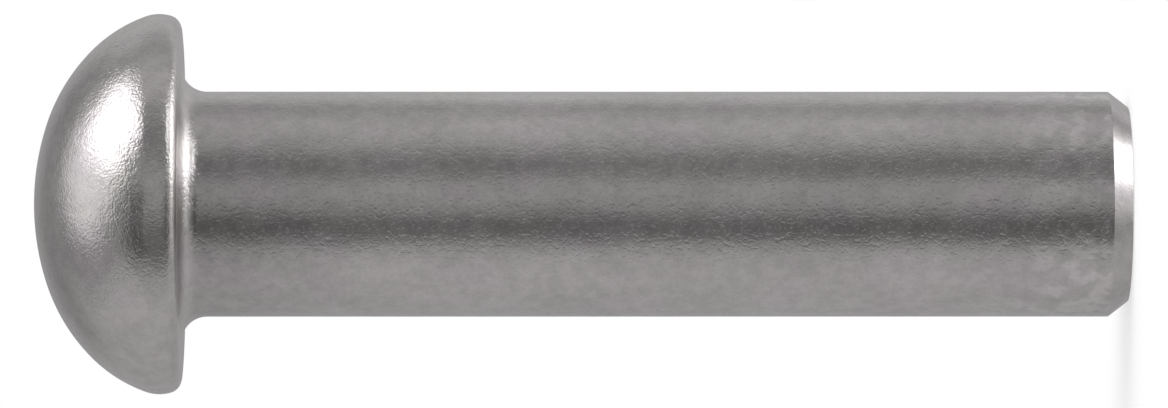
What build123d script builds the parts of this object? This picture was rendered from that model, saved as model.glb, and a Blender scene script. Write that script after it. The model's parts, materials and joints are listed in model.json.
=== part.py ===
from build123d import *
import os
from math import cos, radians, sin

# Round head rivet, solid, cold-headed from one length of round wire. Millimetres.
# The rivet stands on its tail: the origin is the centre of the flat tail face and
# +Z runs up the axis to the crown of the head.

# Shank
shank_diameter = 5.96
length_under_head = 25.05
fillet_radius = 0.68

# Tail: a pressed chamfer, broken by a small round where it meets the flat face
chamfer_length = 0.53
chamfer_depth = 0.41
tail_edge_radius = 0.035

# Head: five arcs, each tangent to the next, from the crown round to the flat seat.
# The crown and flank radii are worked out from the head's diameter and height.
head_diameter = 10.08
head_height = 3.90
shoulder_radius = 4.98
rim_radius = 1.08
seat_edge_radius = 0.38
crown_end_angle = 17.8
shoulder_end_angle = 43.8
flank_end_angle = 70.3
rim_end_angle = 106.6
seat_angle = 180.0


def reach(start_angle, end_angle):
    """How far out and how far down an arc of radius 1 goes between two slopes."""
    out = sin(radians(end_angle)) - sin(radians(start_angle))
    down = cos(radians(start_angle)) - cos(radians(end_angle))
    return out, down


def crown_and_flank_radii():
    """The two radii that give the head its diameter and its height."""
    crown_out, crown_down = reach(0, crown_end_angle)
    shoulder_out, shoulder_down = reach(crown_end_angle, shoulder_end_angle)
    flank_out, flank_down = reach(shoulder_end_angle, flank_end_angle)
    rim_out, _ = reach(flank_end_angle, 90)
    _, rim_down = reach(flank_end_angle, rim_end_angle)
    _, edge_down = reach(rim_end_angle, seat_angle)
    out_left = head_diameter / 2 - shoulder_radius * shoulder_out - rim_radius * rim_out
    down_left = (head_height - shoulder_radius * shoulder_down
                 - rim_radius * rim_down - seat_edge_radius * edge_down)
    spread = crown_out * flank_down - flank_out * crown_down
    crown = (out_left * flank_down - down_left * flank_out) / spread
    flank = (down_left * crown_out - out_left * crown_down) / spread
    return crown, flank


def head_outline(crown_height):
    """The head's outline, from the top of the crown to the edge of the seat."""
    crown_radius, flank_radius = crown_and_flank_radii()
    arcs = (
        (crown_radius, crown_end_angle),
        (shoulder_radius, shoulder_end_angle),
        (flank_radius, flank_end_angle),
        (rim_radius, rim_end_angle),
        (seat_edge_radius, seat_angle),
    )
    outline = []
    start = Vector(0, crown_height)
    heading = Vector(1, 0)
    slope = 0
    for radius, end_angle in arcs:
        arc = JernArc(start, heading, radius, slope - end_angle)
        outline.append(arc)
        start = arc @ 1
        heading = arc % 1
        slope = end_angle
    return outline


def rivet():
    """The whole rivet: half of its section, turned once about the axis."""
    shank_radius = shank_diameter / 2
    tail_face_radius = shank_radius - chamfer_depth
    seat_height = length_under_head
    crown_height = seat_height + head_height
    with BuildPart() as part:
        with BuildSketch(Plane.XZ):
            with BuildLine():
                head = head_outline(crown_height)
                fillet_start = (shank_radius + fillet_radius, seat_height)
                fillet_end = (shank_radius, seat_height - fillet_radius)
                Line(head[-1] @ 1, fillet_start)
                JernArc(fillet_start, (-1, 0), fillet_radius, 90)
                Polyline(
                    fillet_end,
                    (shank_radius, chamfer_length),
                    (tail_face_radius, 0),
                    (0, 0),
                    (0, crown_height),
                )
            make_face()
        revolve(axis=Axis.Z)
        tail_face = part.faces().sort_by(Axis.Z)[0]
        fillet(tail_face.outer_wire().edges(), tail_edge_radius)
    return part.part


os.makedirs("parts", exist_ok=True)
export_step(rivet(), "parts/rivet.step")
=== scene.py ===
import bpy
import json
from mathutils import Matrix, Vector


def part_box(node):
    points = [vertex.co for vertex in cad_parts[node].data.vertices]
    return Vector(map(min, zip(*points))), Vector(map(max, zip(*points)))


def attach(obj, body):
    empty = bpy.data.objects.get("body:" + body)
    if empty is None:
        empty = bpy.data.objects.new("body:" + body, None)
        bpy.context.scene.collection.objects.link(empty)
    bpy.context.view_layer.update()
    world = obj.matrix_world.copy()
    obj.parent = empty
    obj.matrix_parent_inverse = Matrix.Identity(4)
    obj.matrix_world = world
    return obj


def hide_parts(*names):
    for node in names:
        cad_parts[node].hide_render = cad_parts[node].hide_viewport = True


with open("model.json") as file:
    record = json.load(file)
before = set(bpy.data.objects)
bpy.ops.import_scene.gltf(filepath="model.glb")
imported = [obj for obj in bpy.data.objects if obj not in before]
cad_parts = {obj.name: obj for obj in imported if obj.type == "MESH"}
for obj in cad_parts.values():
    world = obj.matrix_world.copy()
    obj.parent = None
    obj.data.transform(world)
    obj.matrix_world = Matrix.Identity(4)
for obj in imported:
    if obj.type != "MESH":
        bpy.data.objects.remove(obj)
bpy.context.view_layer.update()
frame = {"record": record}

import json
from math import ceil, cos, pi, radians, sin, tan

import bmesh
import bpy
import numpy as np
from mathutils import Matrix, Vector


# ---------------------------------------------------------------------------------------------
# The rivet: one length of round stainless wire. Its head was pressed up in a cup-shaped die, its
# tail was cropped square and pressed to a chamfer, and it was tumbled, which left it satin all
# over. It has no other piece.
# ---------------------------------------------------------------------------------------------

MM = 0.001
scene = bpy.context.scene

# Sizes in millimetres, from the frame where the frame has them
low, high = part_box("rivet")
pin = next(mount for mount in frame["record"]["mounts"] if mount["name"] == "shank")
seat = next(mount for mount in frame["record"]["mounts"] if mount["name"] == "head_seat")
head_radius = min(high.x, -low.x) / MM
crown_height = high.z / MM
seat_height = seat["pos_m"][2] / MM
shank_radius = pin["dims"]["r_mm"]
shank_middle = pin["pos_m"][2] / MM
shank_length = pin["dims"]["length_mm"]
chamfer_length = shank_middle - shank_length / 2
fillet_radius = seat_height - shank_middle - shank_length / 2
chamfer_depth = 0.41
shoulder_radius = 4.98
rim_radius = 1.08
seat_edge_radius = 0.38
edge_round = 0.035

# Slopes in degrees at which each arc of the dome gives way to the next
crown_end, shoulder_end, flank_end, rim_end = 17.8, 43.8, 70.3, 106.6

# How far apart the outline's points lie, in millimetres, on each kind of stretch
arc_step, edge_step, shank_step, chamfer_step, face_step = 0.075, 0.01, 0.1, 0.05, 0.2


def reach(start_angle, end_angle):
    """How far out and how far down an arc of radius 1 goes between two slopes."""
    out = sin(radians(end_angle)) - sin(radians(start_angle))
    down = cos(radians(start_angle)) - cos(radians(end_angle))
    return np.array((out, down))


def arc_points(centre, radius, start_angle, end_angle, step):
    """Points on an arc; an angle of 0 is straight up and 90 is straight out."""
    fewest = 4
    count = max(fewest, ceil(abs(radians(end_angle - start_angle)) * radius / step))
    angles = np.radians(np.linspace(start_angle, end_angle, count + 1))
    return [(centre[0] + radius * sin(a), centre[1] + radius * cos(a)) for a in angles]


def line_points(start, end, step):
    """Evenly spaced points from start to end, both included."""
    count = max(1, ceil(np.hypot(end[0] - start[0], end[1] - start[1]) / step))
    return [tuple(p) for p in np.linspace(start, end, count + 1)]


def head_outline():
    """Five arcs, each tangent to the next, from the crown round to the flat seat."""
    fixed = (shoulder_radius * reach(crown_end, shoulder_end)
             + rim_radius * reach(flank_end, rim_end)
             + seat_edge_radius * reach(rim_end, 180))
    fixed[0] -= rim_radius * reach(90, rim_end)[0] + seat_edge_radius * reach(rim_end, 180)[0]
    wanted = np.array((head_radius, crown_height - seat_height)) - fixed
    pair = np.array((reach(0, crown_end), reach(shoulder_end, flank_end))).T
    crown_radius, flank_radius = np.linalg.solve(pair, wanted)
    chain = (
        (crown_radius, 0, crown_end),
        (shoulder_radius, crown_end, shoulder_end),
        (flank_radius, shoulder_end, flank_end),
        (rim_radius, flank_end, rim_end),
        (seat_edge_radius, rim_end, 180),
    )
    points = [(0.0, crown_height)]
    for radius, start, end in chain:
        here = points[-1]
        centre = (here[0] - radius * sin(radians(start)), here[1] - radius * cos(radians(start)))
        points += arc_points(centre, radius, start, end, arc_step)[1:]
    return points


def rivet_outline():
    """Half of the rivet's section, from the crown, down the shank, to the tail's centre."""
    points = head_outline()
    fillet_start = (shank_radius + fillet_radius, seat_height)
    points += line_points(points[-1], fillet_start, arc_step)[1:]
    centre = (fillet_start[0], seat_height - fillet_radius)
    points += arc_points(centre, fillet_radius, 0, -90, arc_step)[1:]
    slope = np.degrees(np.arctan2(chamfer_depth, chamfer_length))
    # the two edges of the chamfer, each broken by a small round
    upper = edge_round * tan(radians(slope / 2))
    lower = edge_round * tan(radians((90 - slope) / 2))
    length = np.hypot(chamfer_depth, chamfer_length)
    along = np.array((-chamfer_depth, -chamfer_length)) / length
    shank_end = (shank_radius, chamfer_length + upper)
    points += line_points(points[-1], shank_end, shank_step)[1:]
    centre = (shank_radius - edge_round, shank_end[1])
    points += arc_points(centre, edge_round, 90, 90 + slope, edge_step)[1:]
    face_edge = np.array((shank_radius - chamfer_depth, 0))
    points += line_points(points[-1], tuple(face_edge - along * lower), chamfer_step)[1:]
    centre = (face_edge[0] - lower, edge_round)
    points += arc_points(centre, edge_round, 90 + slope, 180, edge_step)[1:]
    points += line_points(points[-1], (0.0, 0.0), face_step)[1:]
    return points


def outline_curve(name, points):
    """A curve object through points (distance from the axis, height), in millimetres."""
    curve = bpy.data.curves.new(name, "CURVE")
    curve.dimensions = "3D"
    spline = curve.splines.new("POLY")
    spline.points.add(len(points) - 1)
    for spot, (out, up) in zip(spline.points, points):
        spot.co = (out * MM, 0, up * MM, 1)
    made = bpy.data.objects.new(name, curve)
    scene.collection.objects.link(made)
    return made


class Tree:
    """A short way to write a node tree: node adds any node, and math gives a sum's output."""

    def __init__(self, tree):
        self.tree = tree

    def node(self, kind, inputs=(), **settings):
        node = self.tree.nodes.new(kind)
        for key, value in settings.items():
            setattr(node, key, value)
        for key, value in dict(inputs).items():
            if isinstance(value, bpy.types.NodeSocket):
                self.tree.links.new(value, node.inputs[key])
            else:
                node.inputs[key].default_value = value
        return node

    def math(self, operation, first, second=0.0, third=0.0):
        made = self.node("ShaderNodeMath", {0: first, 1: second, 2: third}, operation=operation)
        return made.outputs[0]


def turning_tree():
    """Turns an outline about the Z axis, and gives the metal its faint unevenness."""
    weld_distance = 1e-7
    tree = bpy.data.node_groups.new("turned_from_outline", "GeometryNodeTree")
    sockets = (
        ("Outline", "NodeSocketGeometry"),
        ("Steps round", "NodeSocketInt"),
        ("Wave height", "NodeSocketFloat"),
        ("Waves per metre", "NodeSocketFloat"),
        ("Seed", "NodeSocketFloat"),
        ("Metal", "NodeSocketMaterial"),
    )
    for name, kind in sockets:
        tree.interface.new_socket(name, in_out="INPUT", socket_type=kind)
    tree.interface.new_socket("Mesh", in_out="OUTPUT", socket_type="NodeSocketGeometry")
    t = Tree(tree)
    given = t.node("NodeGroupInput").outputs
    # a grid with a row for each point of the outline, and a column for each step round and one
    # more that closes it
    size = t.node("GeometryNodeAttributeDomainSize", {0: given["Outline"]}, component="CURVE")
    rows = size.outputs["Point Count"]
    columns = t.math("ADD", given["Steps round"], 1)
    grid = t.node("GeometryNodeMeshGrid", {
        "Size X": 1.0, "Size Y": 1.0, "Vertices X": columns, "Vertices Y": rows})
    # each of its points goes to its place on the outline, turned by its column's angle
    index = t.node("GeometryNodeInputIndex").outputs[0]
    row = t.math("FLOORED_MODULO", index, rows)
    column = t.math("FLOOR", t.math("DIVIDE", t.math("ADD", index, 0.5), rows))
    place = t.node("GeometryNodeInputPosition").outputs[0]
    spot = t.node("GeometryNodeSampleIndex", {0: given["Outline"], "Index": row},
                  data_type="FLOAT_VECTOR", domain="POINT")
    tree.links.new(place, spot.inputs["Value"])
    turn = t.math("MULTIPLY", t.math("DIVIDE", column, given["Steps round"]), 2 * pi)
    turned = t.node("ShaderNodeVectorRotate", {"Vector": spot.outputs["Value"], "Angle": turn},
                    rotation_type="Z_AXIS").outputs[0]
    shaped = t.node("GeometryNodeSetPosition", {
        "Geometry": grid.outputs["Mesh"], "Position": turned})
    closed = t.node("GeometryNodeMergeByDistance", {
        "Geometry": shaped.outputs[0], "Distance": weld_distance})
    outward = t.node("GeometryNodeFlipFaces", {"Mesh": closed.outputs[0]})
    # the noise runs from 0 to 1, so taking 1 away pushes inward only, never past the true size
    wave = t.node("ShaderNodeTexNoise", {
        "Vector": place, "Scale": given["Waves per metre"], "Detail": 1.0,
        "W": given["Seed"]}, noise_dimensions="4D")
    swing = t.math("MULTIPLY", t.math("SUBTRACT", wave.outputs[0], 1.0), given["Wave height"])
    normal = t.node("GeometryNodeInputNormal").outputs[0]
    push = t.node("ShaderNodeVectorMath", {0: normal, "Scale": swing}, operation="SCALE").outputs[0]
    uneven = t.node("GeometryNodeSetPosition", {"Geometry": outward.outputs[0], "Offset": push})
    smooth = t.node("GeometryNodeSetShadeSmooth", {"Geometry": uneven.outputs[0]})
    solid = t.node("GeometryNodeRealizeInstances", {"Geometry": smooth.outputs[0]})
    coated = t.node("GeometryNodeSetMaterial", {
        "Geometry": solid.outputs[0], "Material": given["Metal"]})
    t.node("NodeGroupOutput", {"Mesh": coated.outputs[0]})
    return tree


def plain_mesh(name, source, tree, values):
    """What the tree makes of the source object, as a new object with a plain mesh."""
    modifier = source.modifiers.new(tree.name, "NODES")
    modifier.node_group = tree
    for item in tree.interface.items_tree:
        if item.in_out == "INPUT" and item.name in values:
            modifier[item.identifier] = values[item.name]
    depsgraph = bpy.context.evaluated_depsgraph_get()
    mesh = bpy.data.meshes.new_from_object(source.evaluated_get(depsgraph), depsgraph=depsgraph)
    source.modifiers.clear()
    bpy.data.objects.remove(source)
    mesh.name = name
    made = bpy.data.objects.new(name, mesh)
    scene.collection.objects.link(made)
    return made


def steel():
    """Tumbled stainless steel: satin, finely pitted, with draw lines down the shank."""
    material = bpy.data.materials.new("tumbled_stainless")
    material.use_nodes = True
    tree = material.node_tree
    tree.nodes.clear()
    t = Tree(tree)
    place = t.node("ShaderNodeTexCoord").outputs["Object"]
    spot = t.node("ShaderNodeSeparateXYZ", {0: place}).outputs
    height = spot["Z"]

    def noise(per_mm, detail=2.0, stretch=(1, 1, 1), roughness=0.5):
        """Noise with about so many features to a millimetre, fewer along an axis stretched."""
        mapped = t.node("ShaderNodeMapping", {
            "Vector": place, "Scale": [per_mm / MM * s for s in stretch]}).outputs[0]
        return t.node("ShaderNodeTexNoise", {
            "Vector": mapped, "Scale": 1.0, "Detail": detail, "Roughness": roughness}).outputs[0]

    def between(value, start, end, low=0.0, high=1.0):
        """low where the value is under start, high where it is over end, and soft between."""
        return t.node("ShaderNodeMapRange", {0: value, 1: start, 2: end, 3: low, 4: high},
                      interpolation_type="SMOOTHSTEP").outputs[0]

    def above(start, end):
        """How far a place lies above a soft line, between two heights in millimetres."""
        return between(height, start * MM, end * MM)

    def below(start, end):
        """How far a place lies below a soft line, between two heights in millimetres."""
        return between(height, start * MM, end * MM, 1.0, 0.0)

    # how far each place belongs to the collar under the head (painted shade), to the worn tail (wear and
    # painted highlights), to the chamfer, to the ring under the head (painted light and roughness), and
    # to the head
    chamfer_top = (chamfer_length - 0.03, chamfer_length + 0.09)
    tail_top = (1.2, 4.2)
    collar = t.math("MULTIPLY", above(seat_height - 5.25, seat_height - 1.65),
                    below(seat_height - 0.75, seat_height + 0.25))
    tail = t.math("MULTIPLY", below(*tail_top), above(*chamfer_top))
    chamfer = below(*chamfer_top)
    under_head = t.math("MULTIPLY", above(seat_height - 0.45, seat_height - 0.15),
                        below(seat_height + 0.01, seat_height + 0.15))
    on_head = above(seat_height - 0.45, seat_height + 0.35)

    # the colour drifts between two greys, one a little yellow and one a little violet
    straw_grey = (0.474, 0.460, 0.446, 1)
    violet_grey = (0.496, 0.464, 0.474, 1)
    drift = noise(0.7, 2.0, stretch=(1, 1, 0.6))
    hue = t.node("ShaderNodeValToRGB", {0: drift})
    for element, position, grey in zip(
            hue.color_ramp.elements, (0.35, 0.65), (straw_grey, violet_grey)):
        element.position = position
        element.color = grey

    # how bright it is: blotches, clouds and specks, painted shade on the collar under the head (darker on
    # the -X side), painted highlights on the tail and a painted bright ring under the head
    blotches = between(noise(2.6, 3.0, roughness=0.6), 0.30, 0.70, 0.93, 1.06)
    # painted shade: the collar under the head is darker, more on the -X side away from the lamp above
    collar_painted_shade = between(spot["X"], -1.2 * MM, 1.2 * MM, -0.17, -0.06)
    # painted highlights: pale spots on the tail where dents would catch the lamps
    tail_painted_highlights = between(noise(1.7, 2.0), 0.46, 0.60, -0.05, 0.14)
    # painted light: a brighter ring on the seat under the head
    ring_painted_light = 0.22
    shade_layers = (
        between(noise(0.35, 2.0), 0.35, 0.65, -0.04, 0.04),
        t.math("MULTIPLY", collar, collar_painted_shade),
        between(noise(11.0, 1.0), 0.35, 0.65, -0.025, 0.025),
        t.math("MULTIPLY", tail, tail_painted_highlights),
        t.math("MULTIPLY", under_head, ring_painted_light),
    )
    shade = blotches
    for layer in shade_layers:
        shade = t.math("ADD", shade, layer)
    tint = t.node("ShaderNodeVectorMath", {0: hue.outputs[0], "Scale": shade}, operation="SCALE")

    # how rough it is: smoother near the tail, rougher where it mottles and under the head
    mottle = noise(1.3, 2.0, roughness=0.6)
    least_rough, mottle_rough, ring_rough = 0.18, 0.12, 0.07
    tail_rough = between(height, 4 * MM, 14 * MM, -0.03, 0.0)
    rough = t.math("MULTIPLY_ADD", mottle, mottle_rough, least_rough)
    rough = t.math("ADD", rough, tail_rough)
    rough = t.math("MULTIPLY_ADD", under_head, ring_rough, rough)

    # how strong the relief is: nearly none on the chamfer, more at the tail, finer on the head
    pressed = t.math("MULTIPLY_ADD", chamfer, -0.85, 1.0)
    worn = t.math("MULTIPLY_ADD", tail, 0.7, pressed)
    pitted = t.math("SUBTRACT", pressed, t.math("MULTIPLY", on_head, 0.5))
    fine = t.math("MULTIPLY_ADD", on_head, 0.7, pressed)
    # the height of each layer, in thousandths of a millimetre
    thousandth = 0.001 * MM
    grain, pits, ripples, dents, draw_lines = 5.0, -3.6, 3.6, 6.5, 2.0
    relief_layers = (
        (grain, t.math("MULTIPLY", noise(15.0, 1.0), fine)),
        (pits, t.math("MULTIPLY", between(noise(9.0, 1.0), 0.54, 0.70), pitted)),
        (ripples, t.math("MULTIPLY", noise(5.0, 2.0), worn)),
        (dents, t.math("MULTIPLY", mottle, worn)),
        (draw_lines, noise(9.0, 2.0, stretch=(1, 1, 0.04))),
    )
    relief = 0.0
    for layer_height, layer in relief_layers:
        relief = t.math("MULTIPLY_ADD", layer, layer_height, relief)
    bump = t.node("ShaderNodeBump", {"Height": relief, "Strength": 1.0, "Distance": thousandth})
    shader = t.node("ShaderNodeBsdfPrincipled", {
        "Base Color": tint.outputs[0], "Metallic": 1.0, "Roughness": rough,
        "Normal": bump.outputs[0]})
    t.node("ShaderNodeOutputMaterial", {"Surface": shader.outputs[0]})
    return material


outline = outline_curve("rivet_outline", rivet_outline())
rivet = plain_mesh("rivet_metal", outline, turning_tree(), {
    "Steps round": 216,
    "Wave height": 0.006 * MM,
    "Waves per metre": 700.0,
    "Seed": 4.0,
    "Metal": steel(),
})
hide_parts("rivet")
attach(rivet, "root")


# ---------------------------------------------------------------------------------------------
# The studio: a round tent of pale cloth with dark openings at the front, a soft lamp above and
# one below, grey and dark cards, and a lit table that the rivet stands on. Tent, lamps and cards
# are hidden from the camera, and the metal mirrors them.
# ---------------------------------------------------------------------------------------------

middle = Vector((0, 0, crown_height / 2 * MM))


def facing(azimuth, elevation):
    """The direction from the rivet; azimuth 0 is the front and 90 the +X side, in degrees."""
    a, e = radians(azimuth), radians(elevation)
    return Vector((sin(a) * cos(e), -cos(a) * cos(e), sin(e)))


def hide_from_camera(piece):
    piece.visible_camera = False


def tent_cloth():
    """Cloth that glows panel by panel round the rivet, with a pale cap above and one below."""
    material = bpy.data.materials.new("tent_cloth")
    material.use_nodes = True
    tree = material.node_tree
    tree.nodes.clear()
    t = Tree(tree)
    place = t.node("ShaderNodeTexCoord").outputs["Object"]
    direction = t.node("ShaderNodeVectorMath", {0: place}, operation="NORMALIZE").outputs[0]
    x, y, _ = t.node("ShaderNodeSeparateXYZ", {0: direction}).outputs
    # 0 is the back, 0.5 the front, and between them the +X side is above 0.5
    round_it = t.math("ARCTAN2", x, t.math("MULTIPLY", y, -1.0))
    round_it = t.math("MULTIPLY_ADD", round_it, 1 / (2 * pi), 0.5)
    panels = t.node("ShaderNodeValToRGB", {0: round_it})
    ramp = panels.color_ramp
    ramp.interpolation = "LINEAR"
    # azimuth in degrees, and the glow of the cloth there
    stops = (
        (-180, 0.42), (-150, 0.49), (-125, 0.58), (-110, 0.58), (-85, 0.63), (-58, 0.61),
        (-42, 0.47), (-34, 0.21), (-18, 0.16), (-10, 0.34), (5, 0.50), (22, 0.50), (31, 0.29),
        (42, 0.23), (52, 0.36), (64, 0.53), (90, 0.68), (104, 0.54), (118, 0.44), (126, 0.60),
        (140, 0.74), (160, 0.56), (180, 0.44),
    )
    while len(ramp.elements) < len(stops):
        ramp.elements.new(0.5)
    for element, (angle, glow) in zip(ramp.elements, stops):
        element.position = (angle + 180) / 360
        element.color = (glow, glow, glow, 1)

    def within(away, start, end):
        """1 nearer to a cap's middle than the first angle in degrees, and 0 past the second."""
        return t.node("ShaderNodeMapRange", {
            0: away, 1: radians(start), 2: radians(end), 3: 1.0, 4: 0.0},
            interpolation_type="SMOOTHSTEP").outputs[0]

    def mixed(share, first, second):
        return t.node("ShaderNodeMix", {0: share, 2: first, 3: second}, data_type="FLOAT").outputs[0]

    # each cap leans to its lamp: its middle, its radius and the width of the dark hoop round it
    # in degrees, then the glow of the hoop and of the cap
    caps = (
        (facing(85, 75.5), 26.5, 14, 0.36, 1.22),
        (facing(110, -73), 27, 8, 0.48, 1.05),
    )
    cap_softness = 5
    glow = panels.outputs[0]
    for cap, radius, width, hoop_glow, cap_glow in caps:
        nearness = t.node("ShaderNodeVectorMath", {0: direction, 1: cap}, operation="DOT_PRODUCT")
        away = t.math("ARCCOSINE", nearness.outputs["Value"])
        hoop = within(away, radius + width, radius + 2 * width)
        pale = within(away, radius - cap_softness, radius + cap_softness)
        glow = mixed(hoop, glow, hoop_glow)
        glow = mixed(pale, glow, cap_glow)
    shader = t.node("ShaderNodeEmission", {"Color": (1, 1, 1, 1), "Strength": glow})
    t.node("ShaderNodeOutputMaterial", {"Surface": shader.outputs[0]})
    return material


tent_radius = 1.4
tent_mesh = bpy.data.meshes.new("tent")
shell = bmesh.new()
bmesh.ops.create_uvsphere(shell, u_segments=64, v_segments=32, radius=tent_radius)
shell.to_mesh(tent_mesh)
shell.free()
tent = bpy.data.objects.new("tent", tent_mesh)
tent.location = middle
scene.collection.objects.link(tent)
tent_mesh.materials.append(tent_cloth())
hide_from_camera(tent)


def soft_panel(name, azimuth, elevation, wide, tall, roll, distance, glow, edge_glow):
    """A lamp or a card that faces the rivet, so many degrees wide and tall as seen from it."""
    fade_start = 0.62
    direction = facing(azimuth, elevation)
    side = direction.cross(Vector((0, 0, 1))).normalized()
    side = Matrix.Rotation(radians(roll), 3, direction) @ side
    mesh = bpy.data.meshes.new(name)
    across, up = distance * tan(radians(wide / 2)), distance * tan(radians(tall / 2))
    corners = [(-across, -up, 0), (across, -up, 0), (across, up, 0), (-across, up, 0)]
    mesh.from_pydata(corners, [], [(0, 1, 2, 3)])
    made = bpy.data.objects.new(name, mesh)
    made.matrix_world = Matrix((side, side.cross(direction), direction)).transposed().to_4x4()
    made.location = middle + direction * distance
    scene.collection.objects.link(made)
    material = bpy.data.materials.new(name)
    material.use_nodes = True
    material.node_tree.nodes.clear()
    t = Tree(material.node_tree)
    place = t.node("ShaderNodeTexCoord").outputs["Object"]
    x, y, _ = t.node("ShaderNodeSeparateXYZ", {0: place}).outputs
    x = t.math("DIVIDE", t.math("ABSOLUTE", x), across)
    y = t.math("DIVIDE", t.math("ABSOLUTE", y), up)
    fading = t.node("ShaderNodeMapRange", {
        0: t.math("MAXIMUM", x, y), 1: fade_start, 2: 1.0, 3: glow, 4: edge_glow},
        interpolation_type="SMOOTHSTEP").outputs[0]
    shader = t.node("ShaderNodeEmission", {"Color": (1, 1, 1, 1), "Strength": fading})
    t.node("ShaderNodeOutputMaterial", {"Surface": shader.outputs[0]})
    mesh.materials.append(material)
    hide_from_camera(made)


soft_panel("soft_lamp_above", azimuth=75, elevation=54, wide=46, tall=40, roll=8,
           distance=1.0, glow=3.3, edge_glow=1.0)
soft_panel("soft_lamp_below", azimuth=78, elevation=-61, wide=60, tall=34, roll=-40,
           distance=1.0, glow=3.3, edge_glow=1.0)
soft_panel("grey_card_below", azimuth=60, elevation=-55, wide=32, tall=12, roll=20,
           distance=0.8, glow=0.40, edge_glow=0.50)
soft_panel("grey_card_behind", azimuth=177, elevation=41, wide=70, tall=24, roll=0,
           distance=1.0, glow=0.33, edge_glow=0.40)
soft_panel("dark_card_above", azimuth=-14, elevation=42, wide=40, tall=18, roll=0,
           distance=1.0, glow=0.08, edge_glow=0.16)
soft_panel("dark_card_below", azimuth=-14, elevation=-40, wide=40, tall=18, roll=0,
           distance=1.0, glow=0.12, edge_glow=0.18)


def table_top():
    """A lit table: white with a soft shadow to the camera, and clear to every other ray.

    The lamp below shines through it, on to the seat of the head and the tail's chamfer.
    """
    paper_tone, table_glow = 0.50, 0.63
    material = bpy.data.materials.new("table_top")
    material.use_nodes = True
    material.node_tree.nodes.clear()
    t = Tree(material.node_tree)
    paper = t.node("ShaderNodeBsdfDiffuse", {"Color": (paper_tone, paper_tone, paper_tone, 1)}).outputs[0]
    glow = t.node("ShaderNodeEmission", {"Strength": table_glow}).outputs[0]
    lit = t.node("ShaderNodeAddShader", {0: paper, 1: glow}).outputs[0]
    clear = t.node("ShaderNodeBsdfTransparent").outputs[0]
    path = t.node("ShaderNodeLightPath").outputs
    seen = t.node("ShaderNodeMixShader", {0: path["Is Camera Ray"], 1: clear, 2: lit}).outputs[0]
    t.node("ShaderNodeOutputMaterial", {"Surface": seen})
    return material


table_half = 0.30
corners = [(x * table_half, y * table_half, 0) for x, y in ((-1, -1), (1, -1), (1, 1), (-1, 1))]
floor_mesh = bpy.data.meshes.new("floor")
floor_mesh.from_pydata(corners, [], [(0, 1, 2, 3)])
floor = bpy.data.objects.new("floor", floor_mesh)
scene.collection.objects.link(floor)
floor_mesh.materials.append(table_top())

# The camera sees this plain white behind the rivet, because the tent is hidden from it
world = bpy.data.worlds.new("white_room")
scene.world = world
world.use_nodes = True
world.node_tree.nodes.clear()
t = Tree(world.node_tree)
back = t.node("ShaderNodeBackground", {"Color": (1, 1, 1, 1), "Strength": 1.0})
t.node("ShaderNodeOutputWorld", {"Surface": back.outputs[0]})


# ---------------------------------------------------------------------------------------------
# The camera lies on its side, level with the middle of the rivet, with a long lens, so that the
# head is at the left. Distances are in metres and the small turn towards the head in radians.
# ---------------------------------------------------------------------------------------------

camera_distance = 0.2635
camera_turn = 0.0096
aim_height = 14.40 * MM
aim = Vector((0, 0, aim_height))
eye = aim + camera_distance * Vector((0, -cos(camera_turn), sin(camera_turn)))
lens_data = bpy.data.cameras.new("camera")
lens_data.sensor_width = 36.0
lens_data.lens = 306.8
lens_data.clip_start = 0.01
lens_data.clip_end = 10.0
camera = bpy.data.objects.new("camera", lens_data)
scene.collection.objects.link(camera)
forward = (aim - eye).normalized()
up = Vector((1, 0, 0))
right = forward.cross(up)
camera.matrix_world = Matrix((right, up, -forward)).transposed().to_4x4()
camera.location = eye
scene.camera = camera

scene.view_settings.view_transform = "Standard"
